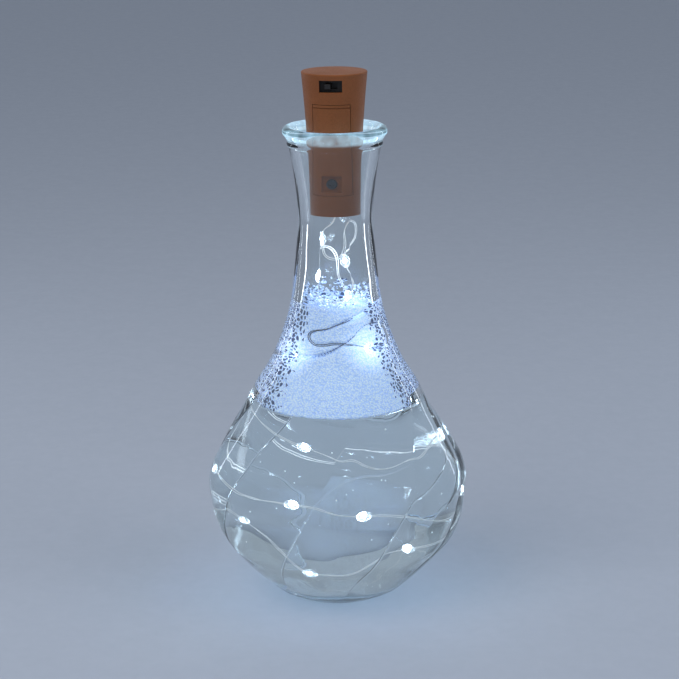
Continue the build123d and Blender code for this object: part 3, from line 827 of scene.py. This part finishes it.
def clear(name, tint, ior, wave_size, wave_height, shade, **looks):
    """A clear solid whose shadow is only as dark as its shade."""
    material, tree, shader = plain_tree(
        name, Base_Color=(*tint, 1), Roughness=0.0, IOR=ior, Transmission_Weight=1.0, **looks
    )
    wave = placed_group(tree, wave_group, {"Wave Size": wave_size, "Wave Height": wave_height})
    tree.links.new(wave.outputs["Normal"], shader.inputs["Normal"])
    through = add_node(tree, "ShaderNodeBsdfTransparent", {
        "Color": (*(channel * shade for channel in tint), 1),
    })
    mix = add_node(tree, "ShaderNodeMixShader", {
        "Fac": add_node(tree, "ShaderNodeLightPath").outputs["Is Shadow Ray"],
        1: shader.outputs["BSDF"], 2: through.outputs["BSDF"],
    })
    tree.links.new(mix.outputs["Shader"], tree.nodes["Material Output"].inputs["Surface"])
    return material


def dress(material, *names):
    """Gives CAD nodes their finish."""
    for name in names:
        mesh = nodes[name].data
        mesh.materials.clear()
        mesh.materials.append(material)


# Pieces


class BOTTLE_LIGHT_OT_glass(bpy.types.Operator):
    """Build the swirled glass bottle with its punt and rolled lip"""

    bl_idname = "bottle_light.glass"
    bl_label = "Glass bottle"

    def execute(self, context):
        settings = context.scene.bottle_light_glass
        material = clear(
            "clear_glass", settings.tint, 1.5, 0.014, settings.wave, 0.96,
            Emission_Strength=settings.edge_light,
        )
        tree = material.node_tree
        # Painted light: the lip glows in streaks, as if the lights shone in it
        lip_light = placed_group(tree, rim_group, {
            "Low": collar_height + lip_light_low, "High": collar_height + lip_light_high,
            "Light Colour": (0.3, 0.52, 0.66, 1),
        })
        shader = tree.nodes["Principled BSDF"]
        tree.links.new(lip_light.outputs["Colour"], shader.inputs["Emission Color"])
        first_crease = outer_line[0][3]
        rings = [
            lobed_ring(radius, height, 0, first_crease)
            for radius, height in smooth_rows(punt_line, fold_step)[:-1]
        ]
        rings += [lobed_ring(*row) for row in outer_line[:-1]]
        lip = [(radius, collar_height + rise) for radius, rise in lip_line]
        rings += [lobed_ring(*point, 0, crease_azimuth) for point in smooth_rows(lip, lip_step)]
        rings += [
            lobed_ring(radius, height, 0, crease_azimuth)
            for radius, height in reversed(inner_line[:-1])
            if radius > 0
        ]
        glass = new_piece("glass", *ring_mesh(rings), material, "bottle")
        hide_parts("glass_bottle")
        # Painted light: the folds glow faintly blue, as if the lights shone in them
        ribs = self.folds(clear(
            "fold_glass", settings.tint, 1.5, 0.014, settings.wave, 0.96,
            Emission_Color=(0.6, 0.78, 1.0, 1), Emission_Strength=settings.edge_light * 0.14,
        ))
        union = glass.modifiers.new("folds", "BOOLEAN")
        union.operation = "UNION"
        union.solver = "EXACT"
        union.material_mode = "TRANSFER"
        union.object = ribs
        graph = context.evaluated_depsgraph_get()
        joined = bpy.data.meshes.new_from_object(glass.evaluated_get(graph))
        glass.modifiers.clear()
        glass.data = joined
        joined.set_sharp_from_angle(angle=math.radians(35))
        bpy.data.objects.remove(ribs)
        return {"FINISHED"}

    def folds(self, material):
        """The pinched folds that run up the creases, some leaving them for the next."""
        vertices, faces = [], []
        for number, (leave, link) in enumerate(folds):
            turn = number * 360 / lobe_count
            height = fold_foot
            line = []
            while height < leave:
                line.append((section_at(height)[2] + turn, height))
                height += 0.002
            line += [(crease_azimuth + turn + azimuth, rise) for azimuth, rise in link]
            reach = math.radians(belly_radius)
            rows = smooth_rows([(azimuth * reach, height) for azimuth, height in line], fold_step)
            rings = self.fold_rings([(across / reach, height) for across, height in rows])
            add_skin(vertices, faces, *ring_mesh(rings))
        return new_piece("glass_folds", vertices, faces, material, None)

    def fold_rings(self, line):
        """Rings of a low rounded rib along a line on the glass, thin at both ends."""
        places = [outside_at(azimuth, height) for azimuth, height in line]
        rings = []
        for index, (point, slope) in enumerate(places):
            after = places[min(index + 1, len(places) - 1)][0]
            along = (after - places[max(index - 1, 0)][0]).normalized()
            radial = Vector((point.x, point.y, 0)).normalized()
            outward = radial - Vector((0, 0, slope))
            outward = (outward - along * outward.dot(along)).normalized()
            side = along.cross(outward)
            share = index / (len(places) - 1)
            swell = min(1.0, 0.12 + 7 * share, 0.12 + 5 * (1 - share))
            rings.append([
                point
                + side * math.cos(math.pi * step / 6) * fold_half_width * swell
                + outward * math.sin(math.pi * step / 6) * fold_half_height * swell
                for step in range(12)
            ])
        return rings


class BOTTLE_LIGHT_OT_fill(bpy.types.Operator):
    """Fill the bottle with water, foam and the foam's large bubbles"""

    bl_idname = "bottle_light.fill"
    bl_label = "Water and foam"

    def execute(self, context):
        settings = context.scene.bottle_light_fill
        self.water(settings)
        self.foam(settings)
        self.bubbles(settings)
        self.seeds(settings)
        return {"FINISHED"}

    def water(self, settings):
        """The water, whose skin lies just inside the glass so that no air shows between."""
        material = clear("water", settings.water_tint, 1.333, 0.02, 0.00002, 0.97)
        rings = [
            round_ring(radius + water_overlap, height - water_overlap * (height < 0.0065))
            for radius, height in inner_line
            if 0 < radius and height < settings.water_level
        ]
        edge = inner_radius(settings.water_level) + water_overlap
        rings += [round_ring(edge * share, settings.water_level) for share in (1, 0.98, 0.7, 0.35)]
        water = new_piece("water_fill", *ring_mesh(rings), material, "bottle")
        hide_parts("water")

    def foam(self, settings):
        """The froth, which climbs the wall, parts round the wire and has a hollow top."""
        top = settings.foam_level + settings.foam_rise - froth_drop
        climb = top - settings.water_level
        count = round(climb / froth_step)
        low = settings.water_level + froth_gap
        lights = [middle(name) for name in froth_lights]
        depths, wall = self.wire_in_froth()
        rings = [froth_ring(inner_radius(low) * share, low) for share in (0.4, 0.8)]
        for row in range(count + 1):
            height = low + climb * row / count
            ring = froth_ring(inner_radius(height) - froth_gap, height)
            for index, point in enumerate(ring):
                reach = math.hypot(point.x, point.y)
                away = math.degrees(math.atan2(abs(point.x), -point.y))
                wet = faded(away - wet_azimuth, wet_azimuth_fade)
                wet *= faded(height - wet_height, wet_height_fade)
                roll = (1 - wet) * froth_roll * (1 + noise.noise(point * 1400))
                roll -= wet * (froth_gap + froth_roll)
                roll += froth_dip(point, reach, lights[1:], depths, wall)
                ring[index] = point * (1 - roll / reach)
                ring[index].z = point.z
                if row < 2:
                    tooth = fine_tooth * noise.noise(point * 1100)
                    tooth += coarse_tooth * noise.noise(point * 330)
                    ring[index].z += max(tooth, -froth_gap) * (1 - row / 2)
            rings.append(ring)
        edge, high = inner_radius(low + climb), low + climb
        for share in dish_shares:
            dish = settings.foam_rise * min(1.0, (1 - share) * 2.6)
            ring = froth_ring(edge * share, high - dish)
            for point in ring:
                point.z += clump_height * noise.noise(point * 380 + Vector((3.0, 1.0, 5.0)))
            rings.append(ring)
        material = self.froth(settings, lights)
        foam = new_piece("froth", *ring_mesh(rings), material, "bottle")
        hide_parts("foam")

    def wire_in_froth(self):
        """Distances of the strands from the axis, and a search tree of them on the wall."""
        shown = [
            point for line in strand_lines(bpy.context.scene.bottle_light_wire)
            for point, _, _ in line
            if froth_foot < point.z < froth_head
        ]
        depths = [math.hypot(point.x, point.y) for point in shown]
        wall = kdtree.KDTree(len(shown))
        for number, point in enumerate(shown):
            stretch = inner_radius(point.z) / depths[number]
            wall.insert(Vector((point.x * stretch, point.y * stretch, point.z)), number)
        wall.balance()
        return depths, wall

    def froth(self, settings, lights):
        """The froth's finish: packed bubbles, coarse bands of them with painted shade at their
        middles, and a painted glow as of the light from inside.
        """
        material, tree, shader = plain_tree(
            "froth", Roughness=0.4, Subsurface_Weight=0.3, Subsurface_Scale=1.0,
            Subsurface_Radius=(0.0015, 0.0015, 0.002), Emission_Strength=1.0,
        )
        colour = settings.foam_colour
        froth = placed_group(tree, froth_group, {
            "Bubble Colour": (*colour, 1),
            "Gap Colour": (colour[0] * 0.6, colour[1] * 0.72, colour[2] * 0.92, 1),
            "Bubble Size": 0.0006,
            "Bump Height": 0.00025,
        })
        last = froth.outputs["Colour"]
        # Each band paints shade into the middles of its coarse bubbles
        for azimuth, width, size in froth_bands:
            last = placed_group(tree, band_group, {
                "Colour": last, "Azimuth": math.radians(azimuth),
                "Half Width": math.radians(width), "Bubble Size": size,
                "Painted Shade Colour": (0.05, 0.07, 0.14, 1),
            }).outputs["Colour"]
        tree.links.new(last, shader.inputs["Base Color"])
        tree.links.new(froth.outputs["Normal"], shader.inputs["Normal"])
        # Painted light: a dim blue glow all over the froth, brighter round each light, times the
        # froth's colour
        lit = (0.13, 0.19, 0.33, 1)
        for light, reach in zip(lights, froth_lights.values()):
            lit = placed_group(tree, lit_group, {
                "Centre": light, "Reach": reach, "Light Colour": (0.7, 0.82, 1.0, 1),
                "Colour": lit,
            }).outputs["Colour"]
        glow = mixed(tree, 1.0, last, lit, "MULTIPLY")
        tree.links.new(glow, shader.inputs["Emission Color"])
        return material

    def bubbles(self, settings):
        """Bubbles that reach up the wall from the froth's edge, white ones and clear ones."""
        draw = random.Random(7)
        froth = bpy.data.materials["froth"]
        skin = clear("bubble_skin", (0.97, 0.99, 1.0), 1.12, 0.004, 0.0, 0.98)
        for name, material, count, climb in (
            ("froth_edge", froth, settings.bubble_count, 0.006),
            ("foam_bubbles", skin, settings.bubble_count // 3, 0.009),
        ):
            balls = []
            for _ in range(count):
                azimuth = draw.uniform(0, 360)
                rise = climb * (1 + 0.7 * noise.noise(front_point(azimuth, 2.0, 0.0)))
                size = draw.uniform(*bubble_sizes)
                share = draw.random() ** 2
                height = settings.foam_level + settings.foam_rise - 0.001 + rise * share
                size *= 1 - 0.5 * share
                reach = inner_radius(height) - size - 0.00012
                balls.append((front_point(azimuth, reach, height), size))
            ball_piece(name, balls, material)

    def seeds(self, settings):
        """Small air bubbles that cling to the wall under water, white and glowing a little as
        painted glints.
        """
        draw = random.Random(3)
        # Painted glints: white, slightly glowing balls stand in for the light that clear bubbles
        # catch
        material, _, _ = plain_tree(
            "air_bubble_glint", Base_Color=(0.9, 0.95, 1.0, 1), Roughness=0.15,
            Emission_Color=(0.8, 0.9, 1.0, 1), Emission_Strength=0.5,
        )
        balls = []
        for _ in range(settings.seed_count):
            size = draw.uniform(*seed_sizes)
            height = draw.uniform(seed_foot, settings.water_level - 0.004)
            reach = inner_radius(height) - size - 0.0003
            balls.append((front_point(draw.uniform(0, 360), reach, height), size))
        ball_piece("water_bubbles", balls, material)


def faded(past, fade):
    """A share that grows from 0 at the start of a fade to 1 at its end."""
    return min(1.0, max(0.0, past / fade))


def froth_dip(point, reach, lights, depths, wall):
    """How far the froth stands back at a point, over the wire and round the lights."""
    _, number, gap = wall.find(point)
    inset = max(0.0, reach - depths[number] + groove_depth)
    dip = inset * max(0.0, 1 - (gap / groove_reach) ** 4)
    for light in lights:
        out = math.hypot(light.x, light.y)
        flat = Vector((light.x * reach / out, light.y * reach / out, light.z))
        hollow = reach - out + hollow_depth
        dip = max(dip, hollow * max(0.0, 1 - ((point - flat).length / hollow_reach) ** 2))
    return dip


def froth_ring(radius, height):
    """A fine ring of the froth."""
    return round_ring(radius, height, 300)


def bubble_ball():
    """Vertices and faces of a small ball of radius one."""
    rows, columns = 7, 10
    rings = []
    for row in range(1, rows):
        angle = math.pi * row / rows
        rings.append(round_ring(math.sin(angle), -math.cos(angle), columns))
    return ring_mesh(rings)


def ball_piece(name, balls, material, body="bottle"):
    """One piece of many small balls, each given by its middle and radius."""
    points, skin = bubble_ball()
    vertices, faces = [], []
    for centre, size in balls:
        add_skin(vertices, faces, [centre + point * size for point in points], skin)
    return new_piece(name, vertices, faces, material, body)


class BOTTLE_LIGHT_OT_wire(bpy.types.Operator):
    """Lay the two twisted strands of the wire along its route and light its lights"""

    bl_idname = "bottle_light.wire"
    bl_label = "Wire and lights"

    def execute(self, context):
        settings = context.scene.bottle_light_wire
        # Painted light: the wire glows faintly blue, as if lit by the lights; the lead wire wears
        # it too
        material = grained(
            "wire_copper", settings.copper, 0.85, 0.0003, (0.25, 0.4), 0.000004, 0.4,
            Coat_Weight=0.6, Coat_Roughness=0.1,
            Emission_Color=(0.75, 0.85, 1.0, 1), Emission_Strength=0.3,
        )
        # Painted shade: a darker copy of the wire's material for the stretch in the froth
        shade = grained(
            "wire_shaded_in_froth", [channel * 0.2 for channel in settings.copper], 0.85, 0.0003,
            (0.35, 0.5), 0.000004,
        )
        vertices, faces, shaded = self.strands(settings)
        wire = new_piece("light_wire", vertices, faces, material, None)
        wire.data.materials.append(shade)
        wire.data.polygons.foreach_set("material_index", shaded)
        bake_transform(wire)
        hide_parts("string_upper", "string_link", "string_lower")
        beads = [f"light_bead_{number + 1:02d}" for number in range(light_count)]
        chips = ["light_chips_neck", "light_chips_bulb"]
        resin = clear(
            "bead_resin", (0.93, 0.97, 1.0), 1.45, 0.001, 0.00003, 0.97,
            Emission_Color=(*settings.glow, 1), Emission_Strength=0.22,
        )
        dress(resin, *beads)
        lit, _, _ = plain_tree(
            "light_chip", Base_Color=(0.9, 0.9, 0.85, 1),
            Emission_Color=(*settings.glow, 1), Emission_Strength=settings.glow_strength,
        )
        dress(lit, *chips)
        cores = [(middle(name), core_radius) for name in beads]
        neck, bulb = cores[:neck_lights], cores[neck_lights:]
        ball_piece("light_glow_neck", neck, lit, "cork_light")
        ball_piece("light_glow_bulb", bulb, lit)
        seal = clear("seal_resin", (0.85, 0.78, 0.62), 1.45, 0.001, 0.00003, 0.8)
        dress(seal, "wire_seal")
        dress(material, "lead_wire")
        return {"FINISHED"}

    def strands(self, settings):
        """Two thin strands along the path, the part in the froth in a darker copy of the wire's
        material, as painted shade.
        """
        sides = 6
        vertices, faces, shaded = [], [], []
        for line in strand_lines(settings):
            rings = [
                [
                    centre + (
                        normal * math.cos(2 * math.pi * step / sides)
                        + side * math.sin(2 * math.pi * step / sides)
                    ) * settings.strand / 2
                    for step in range(sides)
                ]
                for centre, normal, side in line
            ]
            more, skin = ring_mesh(rings)
            # Faces in the froth take the painted shade
            shaded += [int(froth_foot < more[face[0]].z < froth_head) for face in skin]
            add_skin(vertices, faces, more, skin)
        return vertices, faces, shaded


class BOTTLE_LIGHT_OT_cork(bpy.types.Operator):
    """Finish the cork light's shell, door, screw, switch and what is inside it"""

    bl_idname = "bottle_light.cork"
    bl_label = "Cork light"

    def execute(self, context):
        settings = context.scene.bottle_light_cork
        shell = grained(
            "cork_plastic", settings.plastic, 0.8, 0.0005, (0.42, 0.58), 0.000018,
            Subsurface_Weight=0.15, Subsurface_Radius=(0.002, 0.0008, 0.0003),
            Subsurface_Scale=1.0,
        )
        dress(shell, "cork_housing", "cork_top_cap", "cork_base_plug", "battery_door")
        dark = grained("dark_plastic", settings.dark, 0.6, 0.0004, (0.4, 0.6), 0.00001)
        dress(dark, "battery_holder", "switch_case", "driver_chip", "resistor")
        knob = grained("knob_plastic", settings.dark, 0.7, 0.0003, (0.3, 0.45), 0.000006)
        dress(knob, "switch_knob")
        steel = grained("steel", settings.steel, 0.8, 0.0002, (0.22, 0.38), 0.000004, 1.0)
        dress(steel, "battery_cell_1", "battery_cell_2", "battery_cell_3")
        black = grained("black_steel", settings.screw, 0.7, 0.0002, (0.3, 0.45), 0.000004, 0.9)
        dress(black, "door_screw")
        brass = grained("brass", settings.brass, 0.8, 0.0002, (0.25, 0.4), 0.000004, 1.0)
        dress(brass, "contact_spring", "contact_plate", "contact_strip", "switch_pins")
        board = grained("board_resin", settings.board, 0.7, 0.0003, (0.35, 0.5), 0.000008)
        dress(board, "circuit_board")
        return {"FINISHED"}


class BOTTLE_LIGHT_OT_stage(bpy.types.Operator):
    """Set the floor, the soft lamps and the camera"""

    bl_idname = "bottle_light.stage"
    bl_label = "Stage"

    def execute(self, context):
        settings = context.scene.bottle_light_stage
        self.camera(context, settings)
        material = grained(
            "floor_paint", settings.floor_colour, 0.985, 0.004, (0.5, 0.6), 0.00002
        )
        reach = 3.0
        corners = [(-reach, -reach, 0), (reach, -reach, 0), (reach, reach, 0), (-reach, reach, 0)]
        floor = new_piece("floor", corners, [(0, 1, 2, 3)], material, None, smooth=False)
        world = bpy.data.worlds.new("soft_sky")
        context.scene.world = world
        world.use_nodes = True
        sky = world.node_tree.nodes["Background"]
        sky.inputs["Color"].default_value = (0.8, 0.88, 1.0, 1)
        sky.inputs["Strength"].default_value = 0.42
        for name, place, size, power, colour, shows in (
            ("key_lamp", (-0.55, -0.45, 0.85), (0.7, 0.7), 5.5, (1.0, 0.98, 0.95), False),
            ("fill_lamp", (0.8, -0.35, 0.7), (0.6, 0.6), 3.5, (0.92, 0.96, 1.0), False),
            ("left_strip", (-0.42, 0.3, 0.25), (0.025, 0.5), 0.16, (0.85, 0.93, 1.0), True),
            ("right_strip", (0.42, 0.32, 0.25), (0.025, 0.5), 0.16, (0.85, 0.93, 1.0), True),
        ):
            lamp, holder = self.lamp(context, name, "AREA", place, power, colour, shows)
            lamp.shape = "RECTANGLE"
            lamp.size, lamp.size_y = size
            aim = Vector((0, 0, 0.08)) - Vector(place)
            holder.rotation_euler = aim.to_track_quat("-Z", "Y").to_euler()
        glow = context.scene.bottle_light_wire.glow
        for name, height, power in (("bulb_glow", 0.04, 0.07), ("neck_glow", 0.12, 0.012)):
            lamp, holder = self.lamp(context, name, "POINT", (0, 0, height), power, glow, False)
            lamp.shadow_soft_size = 0.006
            holder.visible_camera = False
        context.scene.view_settings.view_transform = "Standard"
        return {"FINISHED"}

    def lamp(self, context, name, kind, place, power, colour, shows):
        """A lamp that shows in gloss and through glass, or doesn't."""
        lamp = bpy.data.lights.new(name, kind)
        lamp.energy = power
        lamp.color = colour
        holder = bpy.data.objects.new(name, lamp)
        context.scene.collection.objects.link(holder)
        holder.location = place
        holder.visible_glossy = shows
        holder.visible_transmission = shows
        return lamp, holder

    def camera(self, context, settings):
        """The camera at the photograph's place and angle."""
        lens = bpy.data.cameras.new("camera")
        lens.lens = settings.camera_lens
        lens.sensor_width = 36
        lens.clip_start = 0.01
        holder = bpy.data.objects.new("camera", lens)
        context.scene.collection.objects.link(holder)
        pitch = Matrix.Rotation(math.pi / 2 - settings.camera_pitch, 4, "X")
        roll = Matrix.Rotation(settings.camera_roll, 4, "Z")
        holder.matrix_world = Matrix.Translation(settings.camera_place) @ pitch @ roll
        context.scene.camera = holder


class BOTTLE_LIGHT_PT_panel(bpy.types.Panel):
    """The bottle light's builders and settings"""

    bl_label = "Bottle light"
    bl_idname = "BOTTLE_LIGHT_PT_panel"
    bl_space_type = "VIEW_3D"
    bl_region_type = "UI"
    bl_category = "Bottle light"

    def draw(self, context):
        for operator in operators:
            self.layout.operator(operator.bl_idname)
        for name, settings in setting_groups.items():
            box = self.layout.box()
            for label in settings.__annotations__:
                box.prop(getattr(context.scene, name), label)


setting_groups = {
    "bottle_light_stage": StageSettings,
    "bottle_light_wire": WireSettings,
    "bottle_light_glass": GlassSettings,
    "bottle_light_fill": FillSettings,
    "bottle_light_cork": CorkSettings,
}
operators = (
    BOTTLE_LIGHT_OT_stage,
    BOTTLE_LIGHT_OT_wire,
    BOTTLE_LIGHT_OT_glass,
    BOTTLE_LIGHT_OT_fill,
    BOTTLE_LIGHT_OT_cork,
)


def register():
    """Registers the settings, the builders and the panel."""
    for item in (*setting_groups.values(), *operators, BOTTLE_LIGHT_PT_panel):
        bpy.utils.register_class(item)
    for name, settings in setting_groups.items():
        setattr(bpy.types.Scene, name, PointerProperty(type=settings))


def unregister():
    """Takes back what register did."""
    for name in setting_groups:
        delattr(bpy.types.Scene, name)
    for item in (BOTTLE_LIGHT_PT_panel, *operators, *setting_groups.values()):
        bpy.utils.unregister_class(item)


def main():
    register()
    bpy.ops.bottle_light.stage()
    bpy.ops.bottle_light.wire()
    bpy.ops.bottle_light.glass()
    bpy.ops.bottle_light.fill()
    bpy.ops.bottle_light.cork()


if __name__ == "__main__":
    main()
